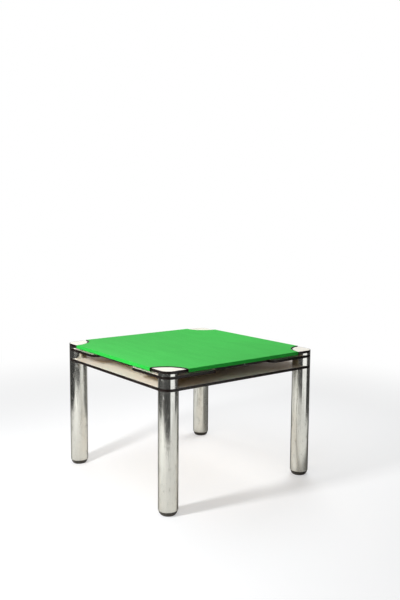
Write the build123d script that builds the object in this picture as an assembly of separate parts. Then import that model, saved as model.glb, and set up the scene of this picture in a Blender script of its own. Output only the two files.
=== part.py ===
from build123d import *
import os

# Card table on four thick steel legs, in millimetres.
# The origin is on the floor under the middle of the table, +Z is up.
# The front is towards -Y and the left side towards -X.

# Main sizes
table_side = 980.0
leg_diameter = 97.0
leg_height = 598.0
board_thickness = 13.5
shelf_gap = 44.5
plate_gap = 12.0
plate_thickness = 13.0
panel_thickness = 18.0

# Skins of the boards and plates
laminate_thickness = 0.8
edging_thickness = 3.0

# Finger recess in the middle of each side of the middle board
recess_length = 424.0
recess_mouth_radius = 32.0
recess_wall = 3.0
recess_floor_radius = 10.0

# Corner plates, and the loose panel between them
plate_reach = 119.0
panel_gap = 7.0
panel_overhang = 3.0
panel_core_round = 1.3
bay_band_thickness = 1.5
cloth_thickness = 1.2
cloth_turn_in = 18.0

# Bearers that carry the panel, and their screws
bearer_height = 9.5
bearer_width = 30.0
bearer_length = 600.0
bearer_setback = 30.0
bearer_end_round = 6.0
screws_per_bearer = 4
screw_end_margin = 60.0
screw_head_radius = 4.0
screw_head_height = 2.2
screw_shank_radius = 2.0
screw_point_length = 4.0
screw_floor = 4.0

# Leg tube, with its lower end curled inwards
leg_wall = 1.5
curl_bend_radius = 2.5

# Foot that plugs the lower end of the tube
foot_height = 21.0
foot_sole_radius = 36.0
foot_ledge = 1.2
foot_bulge = 2.4
foot_spigot_length = 24.0
foot_wall = 4.0
foot_floor = 6.0
foot_fit = 0.05

# Plug with a threaded boss, welded inside the top of the tube
plug_thickness = 6.0
boss_radius = 14.0
boss_length = 16.0
thread_clearance = 0.05
thread_lead_in = 1.5

# Stud through each corner, with its washer, nut and insert
stud_radius = 6.0
stud_chamfer = 1.0
stud_tail = 3.0
stud_hole_clearance = 0.5
washer_radius = 15.0
washer_thickness = 2.5
nut_across_flats = 19.0
nut_height = 9.0
nut_headroom = 1.5
insert_wall = 3.0
insert_flange_width = 6.0
insert_flange_thickness = 2.0
insert_floor = 3.0
insert_cap = 0.5

# Spacer rings with turned cores, and the dowels that stop the plates turning
ring_wall = 1.5
core_clearance = 0.2
dowel_radius = 4.0
dowel_floor = 4.0
dowel_offset = 30.0

# How far a cut runs past a face, and how near two values are to be the same
overrun = 1.0
match = 0.01

# Places in plan
half_side = table_side / 2
bay_radius = plate_reach + panel_gap + bay_band_thickness
leg_radius = leg_diameter / 2
leg_offset = half_side - leg_radius
tube_bore = leg_radius - leg_wall
recess_depth = recess_mouth_radius + recess_wall + recess_floor_radius
recess_half = recess_length / 2 - recess_mouth_radius
bearer_line = half_side - recess_depth - bearer_setback - bearer_width / 2
dowel_step = dowel_offset / 2 ** 0.5
stud_hole_radius = stud_radius + stud_hole_clearance
insert_radius = stud_radius + insert_wall
insert_flange_radius = insert_radius + insert_flange_width

# Heights of the layers, from the floor up
lower_bottom = leg_height
lower_top = lower_bottom + board_thickness
middle_bottom = lower_top + shelf_gap
middle_top = middle_bottom + board_thickness
plate_bottom = middle_top + plate_gap
plate_top = plate_bottom + plate_thickness
panel_bottom = middle_top + bearer_height
panel_top = panel_bottom + panel_thickness
nut_top = lower_bottom - washer_thickness
nut_bottom = nut_top - nut_height
plug_top = nut_bottom - nut_headroom
boss_bottom = plug_top - boss_length
stud_bottom = boss_bottom - stud_tail
insert_top = plate_top - insert_floor
stud_top = insert_top - insert_cap

# Each corner has a name and the signs of its X and Y
corners = {
    "front_left": (-1, -1),
    "front_right": (1, -1),
    "back_left": (-1, 1),
    "back_right": (1, 1),
}
quarter_turn = 90
turns_from_front = {"front": 0, "right": 1, "back": 2, "left": 3}
standing = (Align.CENTER, Align.CENTER, Align.MIN)


def at_corner(signs, shape):
    """Moves a shape from the Z axis to the axis of one leg."""
    return Pos(signs[0] * leg_offset, signs[1] * leg_offset, 0) * shape


def at_corners(shape):
    """One copy of a shape on the axis of each leg."""
    return [at_corner(signs, shape) for signs in corners.values()]


def on_side(turns, shape):
    """Moves a shape from the front side of the table to another side."""
    return Rot(0, 0, turns * quarter_turn) * shape


def drum(radius, bottom, top):
    """A round drum on the Z axis between two heights."""
    return Pos(0, 0, bottom) * Cylinder(radius, top - bottom, align=standing)


def pipe(outer, inner, bottom, top):
    """A straight pipe on the Z axis between two heights."""
    return drum(outer, bottom, top) - drum(inner, bottom - overrun, top + overrun)


def slab(outline, bottom, top):
    """A flat layer with the given outline between two heights."""
    return Pos(0, 0, bottom) * extrude(outline, top - bottom)


def turned(*lines):
    """A turned piece, from the lines of its half section in X and Z."""
    return revolve(Plane.XZ * make_face(lines), Axis.Z)


def rounded_at(outline, near, far, radius):
    """Rounds the corners of an outline whose nearer and farther coordinate are as given."""
    picked = []
    for point in outline.vertices():
        low, high = sorted((abs(point.X), abs(point.Y)))
        if abs(low - near) < match and abs(high - far) < match:
            picked.append(point)
    return fillet(picked, radius)


def square_outline(inset):
    """Outline of the lower board, whose corners follow the legs."""
    side = table_side - 2 * inset
    return RectangleRounded(side, side, leg_radius - inset)


def recessed_outline(inset):
    """Outline of the middle board, with a rounded finger recess in each side."""
    half = half_side - inset
    wall = recess_half + inset
    outline = square_outline(inset)
    cut = Pos(0, -half) * Rectangle(2 * wall, 2 * recess_depth)
    for turns in turns_from_front.values():
        outline -= on_side(turns, cut)
    outline = rounded_at(outline, wall, half, recess_mouth_radius - inset)
    return rounded_at(outline, wall, half - recess_depth, recess_floor_radius + inset)


def plate_outline(signs, inset):
    """Outline of a corner plate, the table's corner inside a circle about its sharp point."""
    circle = Pos(signs[0] * half_side, signs[1] * half_side) * Circle(plate_reach - inset)
    return square_outline(inset) & circle


def at_points(shape):
    """One copy of a shape on each sharp point of the table's outline."""
    return [Pos(signs[0] * half_side, signs[1] * half_side, 0) * shape for signs in corners.values()]


def board(outline, bottom, top):
    """Core, skins and edging of a board, from an outline that takes an inset."""
    inner = outline(edging_thickness)
    return {
        "core": slab(inner, bottom + laminate_thickness, top - laminate_thickness),
        "top_laminate": slab(inner, top - laminate_thickness, top),
        "bottom_laminate": slab(inner, bottom, bottom + laminate_thickness),
        "edging": slab(outline(0) - inner, bottom, top),
    }


def drilled(layers, cutters, names):
    """Cuts holes through the named layers of a board."""
    for name in names:
        for cutter in cutters:
            layers[name] -= cutter
    return layers


def stud():
    """Threaded stud that ties one corner together and carries the leg."""
    rod = drum(stud_radius, stud_bottom, stud_top)
    ends = rod.edges().filter_by(GeomType.CIRCLE)
    return chamfer(ends, stud_chamfer)


def insert():
    """Flanged threaded insert, let into the underside of a corner plate."""
    sleeve = drum(insert_radius, plate_bottom, insert_top)
    flange = drum(insert_flange_radius, plate_bottom, plate_bottom + insert_flange_thickness)
    return sleeve + flange - drum(stud_radius, plate_bottom - overrun, stud_top)


def washer():
    """Washer under the lower board."""
    return pipe(washer_radius, stud_hole_radius, nut_top, lower_bottom)


def nut():
    """Hexagon nut that clamps the corner stack."""
    hexagon = RegularPolygon(nut_across_flats / 2, 6, major_radius=False)
    bore = drum(stud_radius, nut_bottom - overrun, nut_top + overrun)
    return slab(hexagon, nut_bottom, nut_top) - bore


def dowel(signs):
    """Dowel from the middle board through the short spacer into a corner plate."""
    pin = drum(dowel_radius, middle_bottom + dowel_floor, plate_top - dowel_floor)
    return Pos(-signs[0] * dowel_step, -signs[1] * dowel_step, 0) * pin


def dowels():
    """The four dowels where they stand."""
    return [at_corner(signs, dowel(signs)) for signs in corners.values()]


def spacer_ring(bottom, top):
    """Steel ring that holds two layers apart."""
    return pipe(leg_radius, leg_radius - ring_wall, bottom, top)


def spacer_core(bottom, top):
    """Turned wooden core that centres a ring on the stud."""
    return pipe(leg_radius - ring_wall - core_clearance, stud_hole_radius, bottom, top)


def bearer_screw():
    """Countersunk wood screw with its head flush with the top of a bearer."""
    head = panel_bottom
    neck = head - screw_head_height
    tip = middle_bottom + screw_floor
    return turned(
        Polyline(
            (0, head),
            (screw_head_radius, head),
            (screw_shank_radius, neck),
            (screw_shank_radius, tip + screw_point_length),
            (0, tip),
            close=True,
        )
    )


def screw_places():
    """Places of the screws along a bearer, from its middle."""
    first = screw_end_margin - bearer_length / 2
    step = -2 * first / (screws_per_bearer - 1)
    return [first + step * index for index in range(screws_per_bearer)]


def bearer():
    """Wooden bearer along the front side, on top of the middle board."""
    outline = RectangleRounded(bearer_length, bearer_width, bearer_end_round)
    return slab(Pos(0, -bearer_line) * outline, middle_top, panel_bottom)


def bearer_screws(turns):
    """The screws of the bearer on one side."""
    screw = bearer_screw()
    return [on_side(turns, Pos(place, -bearer_line, 0) * screw) for place in screw_places()]


def leg_tube():
    """Steel leg tube, with its lower end curled inwards round the foot."""
    curl_radius = leg_wall + curl_bend_radius
    lip = leg_radius - curl_radius
    bend = foot_height + curl_radius
    outside = CenterArc((lip, bend), curl_radius, 0, -quarter_turn)
    inside = CenterArc((lip, bend), curl_bend_radius, -quarter_turn, quarter_turn)
    return turned(
        Line((tube_bore, leg_height), (leg_radius, leg_height)),
        Line((leg_radius, leg_height), (leg_radius, bend)),
        outside,
        Line((lip, foot_height), (lip, foot_height + leg_wall)),
        inside,
        Line((tube_bore, bend), (tube_bore, leg_height)),
    )


def leg_foot():
    """Hollow moulded foot with a bulging rim and a spigot inside the tube."""
    lip = leg_radius - leg_wall - curl_bend_radius
    spigot = lip - foot_fit
    bore = spigot - foot_wall
    top = foot_height + foot_spigot_length
    rim = lip + foot_ledge
    return turned(
        Line((0, 0), (foot_sole_radius, 0)),
        SagittaArc((foot_sole_radius, 0), (rim, foot_height), -foot_bulge),
        Polyline(
            (rim, foot_height),
            (spigot, foot_height),
            (spigot, top),
            (bore, top),
            (bore, foot_floor),
            (0, foot_floor),
            (0, 0),
        ),
    )


def leg_plug():
    """Steel disc with a threaded boss, welded inside the top of the tube."""
    disc = drum(tube_bore, plug_top - plug_thickness, plug_top)
    boss = drum(boss_radius, boss_bottom, plug_top)
    hole = drum(stud_radius + thread_clearance, boss_bottom - overrun, plug_top + overrun)
    blank = disc + boss - hole
    mouth = blank.edges().group_by(Axis.Z)[-1].sort_by(SortBy.RADIUS)[0]
    return chamfer(mouth, thread_lead_in)


def square_block(inset, bottom, top):
    """A square block of the loose panel's size less an inset."""
    side = table_side + 2 * panel_overhang - 2 * inset
    return slab(Rectangle(side, side), bottom, top)


def rounded_block(inset, bottom, top, edge_round):
    """A square block with its long edges rounded."""
    block = square_block(inset, bottom, top)
    layers = block.edges().group_by(Axis.Z)
    return fillet(layers[0] + layers[-1], edge_round)


def notched(block):
    """A block with a round bay for each corner plate."""
    for bay in at_points(drum(bay_radius, panel_bottom - overrun, panel_top + overrun)):
        block -= bay
    return block


def loose_panel():
    """Core, cloth cover, backing and bay bands of the panel that lifts out."""
    core_bottom = panel_bottom + cloth_thickness
    whole = rounded_block(0, panel_bottom, panel_top, panel_core_round + cloth_thickness)
    inner = rounded_block(cloth_thickness, core_bottom, panel_top - cloth_thickness, panel_core_round)
    core = notched(inner)
    backing = notched(square_block(cloth_turn_in, panel_bottom, core_bottom))
    band_inside = bay_radius - bay_band_thickness
    bands = at_points(pipe(bay_radius, band_inside, panel_bottom, panel_top))
    return {
        "panel_core": core,
        "panel_cloth": notched(whole) - core - backing,
        "panel_backing": backing,
        "panel_bay_bands": [whole & band for band in bands],
    }


def lower_board():
    """The lower board, drilled for the studs."""
    layers = board(square_outline, lower_bottom, lower_top)
    holes = at_corners(drum(stud_hole_radius, lower_bottom - overrun, lower_top + overrun))
    return drilled(layers, holes, ["core", "top_laminate", "bottom_laminate"])


def middle_board():
    """The middle board, drilled for the studs, dowels and screws."""
    layers = board(recessed_outline, middle_bottom, middle_top)
    holes = at_corners(drum(stud_hole_radius, middle_bottom - overrun, middle_top + overrun))
    fixings = dowels()
    for turns in turns_from_front.values():
        fixings += bearer_screws(turns)
    layers = drilled(layers, holes, ["core", "top_laminate", "bottom_laminate"])
    return drilled(layers, fixings, ["core", "top_laminate"])


def corner_plate(signs):
    """A corner plate, bored for its insert, stud and dowel."""
    layers = board(lambda inset: plate_outline(signs, inset), plate_bottom, plate_top)
    sleeve = drum(insert_radius, plate_bottom, insert_top)
    flange = drum(insert_flange_radius, plate_bottom, plate_bottom + insert_flange_thickness)
    bores = [at_corner(signs, shape) for shape in (sleeve, flange, dowel(signs))]
    return drilled(layers, bores, ["core", "bottom_laminate"])


def corner_plates():
    """The cores as a piece for each corner, and the skins and edgings as groups."""
    plates = {name: corner_plate(signs) for name, signs in corners.items()}
    pieces = {"corner_plate_core_" + name: layers["core"] for name, layers in plates.items()}
    for skin in ("top_laminate", "bottom_laminate", "edging"):
        pieces["corner_plate_" + skin + "s"] = [layers[skin] for layers in plates.values()]
    return pieces


def spacers():
    """The tall spacers of the shelf space and the short ones under the plates."""
    tall_ring = spacer_ring(lower_top, middle_bottom)
    short_ring = spacer_ring(middle_top, plate_bottom)
    tall_core = spacer_core(lower_top, middle_bottom)
    short_core = spacer_core(middle_top, plate_bottom)
    pieces = {"tall_spacer_cores": at_corners(tall_core), "short_spacer_cores": []}
    for name, signs in corners.items():
        pieces["tall_spacer_ring_" + name] = at_corner(signs, tall_ring)
        pieces["short_spacer_ring_" + name] = at_corner(signs, short_ring)
        pieces["short_spacer_cores"].append(at_corner(signs, short_core - dowel(signs)))
    return pieces


def fixings():
    """The studs and what they screw into, and the dowels."""
    return {
        "corner_studs": at_corners(stud()),
        "plate_inserts": at_corners(insert()),
        "stud_washers": at_corners(washer()),
        "stud_nuts": at_corners(nut()),
        "corner_dowels": dowels(),
    }


def bearers():
    """The four bearers and their screws."""
    pieces = {"bearer_screws": []}
    for name, turns in turns_from_front.items():
        screws = bearer_screws(turns)
        wood = on_side(turns, bearer())
        for screw in screws:
            wood -= screw
        pieces["bearer_" + name] = wood
        pieces["bearer_screws"] += screws
    return pieces


def legs():
    """Tube, plug and foot of each leg."""
    tube = leg_tube()
    plug = leg_plug()
    foot = leg_foot()
    pieces = {}
    for name, signs in corners.items():
        pieces["leg_tube_" + name] = at_corner(signs, tube)
        pieces["leg_plug_" + name] = at_corner(signs, plug)
        pieces["leg_foot_" + name] = at_corner(signs, foot)
    return pieces


def table():
    """Every piece of the table by name."""
    pieces = {}
    for name, layer in lower_board().items():
        pieces["lower_board_" + name] = layer
    for name, layer in middle_board().items():
        pieces["middle_board_" + name] = layer
    pieces.update(corner_plates())
    pieces.update(spacers())
    pieces.update(fixings())
    pieces.update(bearers())
    pieces.update(loose_panel())
    pieces.update(legs())
    return pieces


os.makedirs("parts", exist_ok=True)
for name, piece in table().items():
    solids = piece if isinstance(piece, list) else [piece]
    shape = solids[0] if len(solids) == 1 else Compound(children=solids)
    shape.label = name
    export_step(shape, "parts/" + name + ".step")
    print(name, round(sum(solid.volume for solid in solids)), "cubic mm")
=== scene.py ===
"""Looks of a card table on four thick steel legs, built round its fixed frame."""

import logging
import math
from collections.abc import Callable
from dataclasses import dataclass, field
from enum import Enum

import bpy
from bpy.types import ID, Material, Node, NodeSocket, NodeTree, Object
from mathutils import Matrix, Vector, noise


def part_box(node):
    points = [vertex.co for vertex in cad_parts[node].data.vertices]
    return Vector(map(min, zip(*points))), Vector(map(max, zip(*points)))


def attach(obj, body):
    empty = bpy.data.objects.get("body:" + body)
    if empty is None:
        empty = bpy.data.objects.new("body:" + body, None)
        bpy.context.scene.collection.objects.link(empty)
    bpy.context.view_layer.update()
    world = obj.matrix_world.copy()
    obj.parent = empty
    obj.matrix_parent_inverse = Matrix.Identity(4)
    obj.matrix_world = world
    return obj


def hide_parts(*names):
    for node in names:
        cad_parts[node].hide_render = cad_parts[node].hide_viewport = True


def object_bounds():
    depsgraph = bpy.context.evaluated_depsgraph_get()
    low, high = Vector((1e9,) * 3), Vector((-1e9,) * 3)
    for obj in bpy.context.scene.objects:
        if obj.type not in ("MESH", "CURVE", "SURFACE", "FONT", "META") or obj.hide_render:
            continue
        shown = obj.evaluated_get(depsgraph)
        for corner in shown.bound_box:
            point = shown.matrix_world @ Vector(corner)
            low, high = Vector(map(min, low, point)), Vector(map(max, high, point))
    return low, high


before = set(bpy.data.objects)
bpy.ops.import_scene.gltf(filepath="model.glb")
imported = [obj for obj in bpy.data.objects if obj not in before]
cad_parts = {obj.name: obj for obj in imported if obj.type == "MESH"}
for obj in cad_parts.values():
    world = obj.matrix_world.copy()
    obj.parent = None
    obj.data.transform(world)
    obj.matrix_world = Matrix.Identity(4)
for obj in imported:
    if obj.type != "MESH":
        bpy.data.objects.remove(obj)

log = logging.getLogger("card_table")

MM = 0.001
FULL_TURN = 2 * math.pi
# The way the camera looks, clockwise from the Y axis, in radians
VIEW_YAW = 0.6617
WHITE = (1.0, 1.0, 1.0)
CAD_LOW, CAD_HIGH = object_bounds()
CORNERS = ("front_left", "front_right", "back_left", "back_right")
SIDES = ("front", "right", "back", "left")
Color = tuple[float, float, float]
Point = tuple[float, float, float]
Profile = list[tuple[float, float]]


class Axis(Enum):
    """The axis that a grain runs along."""

    X = "X"
    Y = "Y"
    Z = "Z"


class Slot(Enum):
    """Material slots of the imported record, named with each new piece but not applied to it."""

    EDGING = "black_edging"
    STEEL = "polished_steel"
    ZINC = "zinc_steel"
    BEARER = "bearer_wood"
    BAIZE = "green_baize"
    FOOT = "dark_foot"


# Shader building


class Graph:
    """Adds and wires the nodes of one shader tree."""

    def __init__(self, tree: NodeTree) -> None:
        """Starts on an emptied tree.

        Args:
            tree: The node tree of a material, a world or a group.
        """
        self.tree = tree
        self.tree.nodes.clear()

    def feed(self, socket: NodeSocket, value: object) -> None:
        """Links an input, or sets its value.

        Args:
            socket: The input to feed.
            value: A node, for its first output, or an output, a number, a colour or a vector.
        """
        if isinstance(value, Node):
            value = value.outputs[0]
        if isinstance(value, NodeSocket):
            self.tree.links.new(value, socket)
        elif isinstance(value, tuple) and socket.type == "RGBA":
            socket.default_value = (*value, 1.0)
        else:
            socket.default_value = value

    def wire(self, node: Node, **sockets: object) -> None:
        """Feeds inputs of a node by name.

        Args:
            node: The node.
            **sockets: What feeds each input, named with underscores for spaces.
        """
        for key, value in sockets.items():
            self.feed(node.inputs[key.replace("_", " ")], value)

    def add(self, kind: str, *values: object, settings: dict | None = None, **sockets: object) -> Node:
        """Adds a node, with its settings and what feeds its inputs.

        Args:
            kind: Node type without the ShaderNode prefix.
            *values: What feeds its first inputs, in their order.
            settings: Attributes of the node itself.
            **sockets: What feeds its inputs by name.

        Returns:
            The new node.
        """
        node = self.tree.nodes.new("ShaderNode" + kind)
        for key, value in (settings or {}).items():
            setattr(node, key, value)
        for socket, value in zip(node.inputs, values):
            self.feed(socket, value)
        self.wire(node, **sockets)
        return node

    def math(self, operation: str, *values: object) -> NodeSocket:
        """Adds a Math node.

        Args:
            operation: Its operation.
            *values: What feeds its inputs.

        Returns:
            Its output.
        """
        return self.add("Math", *values, settings={"operation": operation}).outputs[0]

    def vector(self, operation: str, *values: object) -> Node:
        """Adds a Vector Math node.

        Args:
            operation: Its operation.
            *values: What feeds its inputs.

        Returns:
            The node.
        """
        return self.add("VectorMath", *values, settings={"operation": operation})

    def blend(self, factor: object, first: object, second: object) -> NodeSocket:
        """Mixes two colours.

        Args:
            factor: 0 gives the first colour and 1 the second.
            first: First colour or socket.
            second: Second colour or socket.

        Returns:
            The mixed colour.
        """
        node = self.add("Mix", settings={"data_type": "RGBA"})
        for index, value in ((0, factor), (6, first), (7, second)):
            self.feed(node.inputs[index], value)
        return node.outputs[2]

    def mix(self, factor: object, first: Node, second: Node) -> Node:
        """Mixes two shaders.

        Args:
            factor: 0 gives the first shader and 1 the second.
            first: First shader.
            second: Second shader.

        Returns:
            The mixing node.
        """
        return self.add("MixShader", factor, first, second)

    def ramp(
        self, value: object, low: object, high: object, start: float = 0.0, end: float = 1.0
    ) -> NodeSocket:
        """Maps a value smoothly from one range to another.

        Args:
            value: The value.
            low: Where the change begins.
            high: Where it ends.
            start: Result below low.
            end: Result above high.

        Returns:
            The mapped value.
        """
        smooth = {"interpolation_type": "SMOOTHSTEP"}
        return self.add("MapRange", value, low, high, start, end, settings=smooth).outputs[0]

    def group(self, effect: "Effect", **sockets: object) -> Node:
        """Places a shared effect.

        Args:
            effect: The effect whose group is placed.
            **sockets: Values of its inputs.

        Returns:
            The group node.
        """
        node = self.tree.nodes.new("ShaderNodeGroup")
        node.node_tree = effect.tree()
        self.wire(node, **sockets)
        return node


@dataclass(frozen=True)
class Effect:
    """A surface effect that several finishes share, kept as a shader node group."""

    name: str
    inputs: tuple[tuple[str, float], ...]
    outputs: tuple[str, ...]
    wire: Callable[[Graph, Node, Node], None]

    def tree(self) -> NodeTree:
        """Builds the group once.

        Returns:
            The node group.
        """
        made = bpy.data.node_groups.get(self.name)
        if made is not None:
            return made
        made = bpy.data.node_groups.new(self.name, "ShaderNodeTree")
        for name, value in self.inputs:
            socket = made.interface.new_socket(name=name, in_out="INPUT", socket_type="NodeSocketFloat")
            socket.default_value = value
        for name in self.outputs:
            made.interface.new_socket(name=name, in_out="OUTPUT", socket_type="NodeSocketFloat")
        graph = Graph(made)
        source = made.nodes.new("NodeGroupInput")
        sink = made.nodes.new("NodeGroupOutput")
        self.wire(graph, source, sink)
        return made


def scaled_place(graph: Graph, x: object, y: object, z: object) -> Node:
    """Object coordinates, scaled by three values.

    Args:
        graph: The tree to add to.
        x: Scale along X.
        y: Scale along Y.
        z: Scale along Z.

    Returns:
        The node of the scaled coordinates.
    """
    place = graph.add("TexCoord").outputs["Object"]
    return graph.vector("MULTIPLY", place, graph.add("CombineXYZ", x, y, z))


def wire_patches(graph: Graph, source: Node, sink: Node) -> None:
    """Soft uneven patches, as of wear, stain or dust.

    Args:
        graph: The group's tree.
        source: The group's input node.
        sink: The group's output node.
    """
    given = source.outputs
    place = scaled_place(graph, given["X"], given["Y"], given["Z"])
    cloud = graph.add("TexNoise", Vector=place, Scale=1.0, Detail=5.0, Roughness=0.6)
    graph.wire(sink, Mask=graph.ramp(cloud, given["Low"], given["High"]))


def wire_lines(graph: Graph, source: Node, sink: Node) -> None:
    """Fine drawn lines, as of polishing or of grain.

    Args:
        graph: The group's tree.
        source: The group's input node.
        sink: The group's output node.
    """
    given = source.outputs
    place = scaled_place(graph, given["X"], given["Y"], given["Z"])
    fine = graph.add("TexNoise", Vector=place, Scale=1.0, Detail=2.0, Roughness=0.7)
    broad = graph.add("TexNoise", Vector=place, Scale=0.17, Detail=3.0, Roughness=0.5)
    graph.wire(sink, Height=fine, Tone=graph.math("MULTIPLY", fine, broad))


def wire_specks(graph: Graph, source: Node, sink: Node) -> None:
    """Small scattered specks, as of dust, chips or lint.

    Args:
        graph: The group's tree.
        source: The group's input node.
        sink: The group's output node.
    """
    given = source.outputs
    place = scaled_place(graph, given["Scale"], given["Scale"], given["Scale"])
    cells = graph.add("TexVoronoi", Vector=place, Scale=1.0, Randomness=1.0)
    inside = graph.ramp(cells.outputs["Distance"], 0.0, given["Size"], 1.0, 0.0)
    picked = graph.add("SeparateColor", Color=cells.outputs["Color"])
    kept = graph.math("LESS_THAN", picked, given["Share"])
    graph.wire(sink, Mask=graph.math("MULTIPLY", inside, kept))


def wire_felt(graph: Graph, source: Node, sink: Node) -> None:
    """Matted wool fibres and the nap brushed one way.

    Args:
        graph: The group's tree.
        source: The group's input node.
        sink: The group's output node.
    """
    twist_reach = (1.6, 1.6, 1.6)
    strand_share = 0.8
    nap_stretch, nap_rise = 0.22, 8.0
    fibre, nap = source.outputs["Fibre"], source.outputs["Nap"]
    twist = graph.add("TexNoise", Vector=scaled_place(graph, fibre, fibre, fibre), Scale=0.35, Detail=2.0)
    straight = scaled_place(graph, fibre, fibre, fibre)
    bent = graph.vector("MULTIPLY_ADD", twist.outputs["Color"], twist_reach, straight)
    to_edge = {"feature": "DISTANCE_TO_EDGE"}
    strands = graph.add("TexVoronoi", settings=to_edge, Vector=bent, Scale=1.0)
    fuzz = graph.add("TexNoise", Vector=bent, Scale=2.3, Detail=3.0, Roughness=0.7)
    brushed = scaled_place(graph, nap, graph.math("MULTIPLY", nap, nap_stretch), nap_rise)
    graph.wire(
        sink, Height=graph.math("ADD", graph.math("MULTIPLY", strands, strand_share), fuzz),
        Nap=graph.add("TexNoise", Vector=brushed, Scale=1.0, Detail=3.0),
    )


PATCHES = Effect(
    "patches", (("X", 8.0), ("Y", 8.0), ("Z", 8.0), ("Low", 0.45), ("High", 0.7)), ("Mask",), wire_patches
)
LINES = Effect("lines", (("X", 900.0), ("Y", 900.0), ("Z", 9.0)), ("Height", "Tone"), wire_lines)
SPECKS = Effect("specks", (("Scale", 120.0), ("Size", 0.2), ("Share", 0.1)), ("Mask",), wire_specks)
FELT = Effect("felt", (("Fibre", 1500.0), ("Nap", 40.0)), ("Height", "Nap"), wire_felt)


# Finishes


@dataclass(frozen=True)
class Finish:
    """What every finish shares: one material, built once, with a Principled shader."""

    name: str

    def material(self) -> Material:
        """Builds the material at first use.

        Returns:
            The material.
        """
        made = bpy.data.materials.get(self.name)
        if made is None:
            made = bpy.data.materials.new(self.name)
            made.use_nodes = True
            graph = Graph(made.node_tree)
            shader = graph.add("BsdfPrincipled")
            graph.add("OutputMaterial", Surface=shader)
            self.wire(graph, shader)
        return made

    def wire(self, graph: Graph, shader: Node) -> None:
        """Wires the shader's inputs.

        Args:
            graph: The material's tree.
            shader: Its Principled shader.
        """
        raise NotImplementedError


@dataclass(frozen=True)
class Metal(Finish):
    """Metal with drawn lines, dull patches, small marks and, where asked, a duller lower end."""

    bright: Color
    dull: Color
    roughness: float
    dull_roughness: float
    line_scale: float = 900.0
    line_stretch: float = 9.0
    line_depth: float = 0.004 * MM
    line_tone: float = 0.25
    line_blur: float = 0.05
    worn_tone: float = 0.6
    upright_blur: float = 0.0
    edge_tint: float = 1.0
    duller_below: float = 0.0
    duller_share: float = 0.8

    def wire(self, graph: Graph, shader: Node) -> None:
        """Mixes bright and dull metal, with fine lines in the roughness and the normal.

        Args:
            graph: The material's tree.
            shader: Its Principled shader.
        """
        smears = graph.group(PATCHES, X=45.0, Y=45.0, Z=20.0, Low=0.46, High=0.78)
        marks = graph.group(SPECKS, Scale=150.0, Size=0.28, Share=0.035)
        lines = graph.group(LINES, X=self.line_scale, Y=self.line_scale, Z=self.line_stretch).outputs
        worn = graph.math("MAXIMUM", smears, marks)
        # Where asked, the metal turns duller and darker towards its lower end, below the given height.
        if self.duller_below:
            place = graph.add("SeparateXYZ", Vector=graph.add("TexCoord").outputs["Object"])
            low, high = 0.2 * self.duller_below, self.duller_below
            duller = graph.ramp(place.outputs["Z"], low, high, self.duller_share, 0.0)
            worn = graph.math("MAXIMUM", worn, duller)
        toned = graph.ramp(lines["Tone"], low=0.1, high=0.42)
        tone = graph.math("MULTIPLY_ADD", toned, self.line_tone, graph.math("MULTIPLY", worn, self.worn_tone))
        hazy = graph.ramp(lines["Height"], low=0.35, high=0.65)
        rough = graph.ramp(worn, 0.0, 1.0, self.roughness, self.dull_roughness)
        graph.wire(
            shader, Metallic=1.0, Base_Color=graph.blend(tone, self.bright, self.dull),
            Roughness=graph.math("MULTIPLY_ADD", hazy, self.line_blur, rough),
            Specular_Tint=(self.edge_tint,) * 3,
            Normal=graph.add("Bump", Height=lines["Height"], Distance=self.line_depth, Strength=1.0),
        )
        if self.upright_blur:
            graph.wire(shader, Anisotropic=self.upright_blur, Tangent=graph.add("CombineXYZ", Z=1.0))


@dataclass(frozen=True)
class Laminate(Finish):
    """Pressed plastic laminate, aged a little yellow, with specks and rubbed patches."""

    fresh: Color
    aged: Color
    speck: Color = (0.46, 0.40, 0.30)
    roughness: float = 0.38
    rubbed_roughness: float = 0.46
    gloss: float = 0.2
    peel_depth: float = 0.02 * MM

    def wire(self, graph: Graph, shader: Node) -> None:
        """Mixes fresh and aged plastic, with a faint orange-peel surface.

        Args:
            graph: The material's tree.
            shader: Its Principled shader.
        """
        aged = graph.group(PATCHES, X=5.0, Y=5.0, Z=5.0, Low=0.4, High=0.72)
        rubbed = graph.group(PATCHES, X=21.0, Y=14.0, Z=21.0, Low=0.45, High=0.75)
        specks = graph.group(SPECKS, Scale=210.0, Size=0.22, Share=0.03)
        peel = graph.group(LINES, X=420.0, Y=420.0, Z=420.0).outputs["Height"]
        graph.wire(
            shader, Base_Color=graph.blend(specks, graph.blend(aged, self.fresh, self.aged), self.speck),
            Roughness=graph.ramp(rubbed, 0.0, 1.0, self.roughness, self.rubbed_roughness),
            Specular_IOR_Level=self.gloss,
            Normal=graph.add("Bump", Height=peel, Distance=self.peel_depth, Strength=0.35),
        )


@dataclass(frozen=True)
class Plastic(Finish):
    """Dark moulded or band plastic with scuffs."""

    dark: Color
    scuffed: Color
    roughness: float
    scuffed_roughness: float = 0.7
    scuff_share: float = 0.5
    gloss: float = 0.3
    grain_depth: float = 0.03 * MM

    def wire(self, graph: Graph, shader: Node) -> None:
        """Mixes dark plastic and paler scuffs.

        Args:
            graph: The material's tree.
            shader: Its Principled shader.
        """
        scuffs = graph.group(PATCHES, X=70.0, Y=70.0, Z=160.0, Low=0.5, High=0.8)
        dust = graph.group(SPECKS, Scale=330.0, Size=0.3, Share=0.06)
        worn = graph.math("MULTIPLY", graph.math("MAXIMUM", scuffs, dust), self.scuff_share)
        grain = graph.group(LINES, X=700.0, Y=700.0, Z=700.0).outputs["Height"]
        graph.wire(
            shader, Base_Color=graph.blend(worn, self.dark, self.scuffed),
            Roughness=graph.ramp(worn, 0.0, 1.0, self.roughness, self.scuffed_roughness),
            Specular_IOR_Level=self.gloss,
            Normal=graph.add("Bump", Height=grain, Distance=self.grain_depth, Strength=0.4),
        )


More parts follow.
